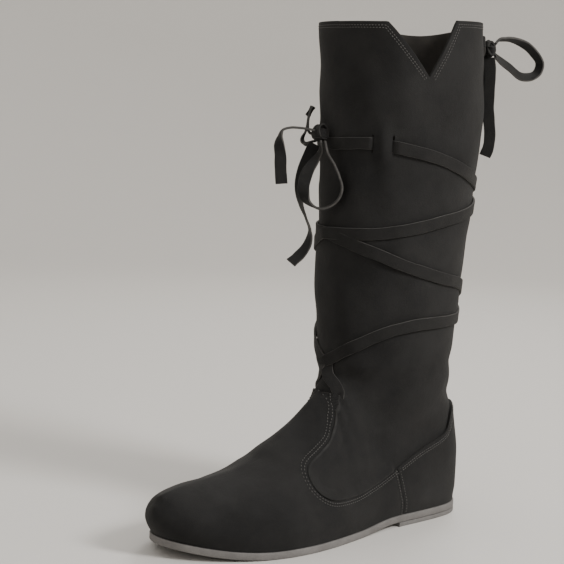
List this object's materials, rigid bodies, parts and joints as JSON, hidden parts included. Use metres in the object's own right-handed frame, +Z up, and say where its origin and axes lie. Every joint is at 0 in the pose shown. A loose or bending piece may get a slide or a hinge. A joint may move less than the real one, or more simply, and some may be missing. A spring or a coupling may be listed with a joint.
{
  "type": "medieval boot",
  "caption": "Calf-high flat medieval boot in black suede with a grey sole, a wrapped thong lacing with a bow in front, a curved seam and a notched collar",
  "frame": {"origin": "on the floor under the middle of the heel", "axes": "+X to the toe, +Y to the boot's outer side, +Z up"},
  "size_m": [0.3046, 0.1066, 0.3505],
  "materials": {
    "suede": "matte suede nap",
    "thong": "matte flat thong with raw cut edges",
    "sole": "matte grey",
    "lining": "matte"
  },
  "bodies": {
    "root": {"outsole": "sole", "upper": "suede", "vamp": "suede", "heel_counter": "suede", "insole": "lining", "wrap_thongs": "thong", "front_thong": "thong", "back_lace": "thong", "front_knot": "thong", "back_knot": "thong", "front_loop_outer": "thong", "front_loop_inner": "thong", "front_end_forward": "thong", "front_end_long": "thong", "back_loop_out": "thong", "back_loop_down": "thong", "back_end_outer": "thong", "back_end_inner": "thong"}
  },
  "joints": []
}
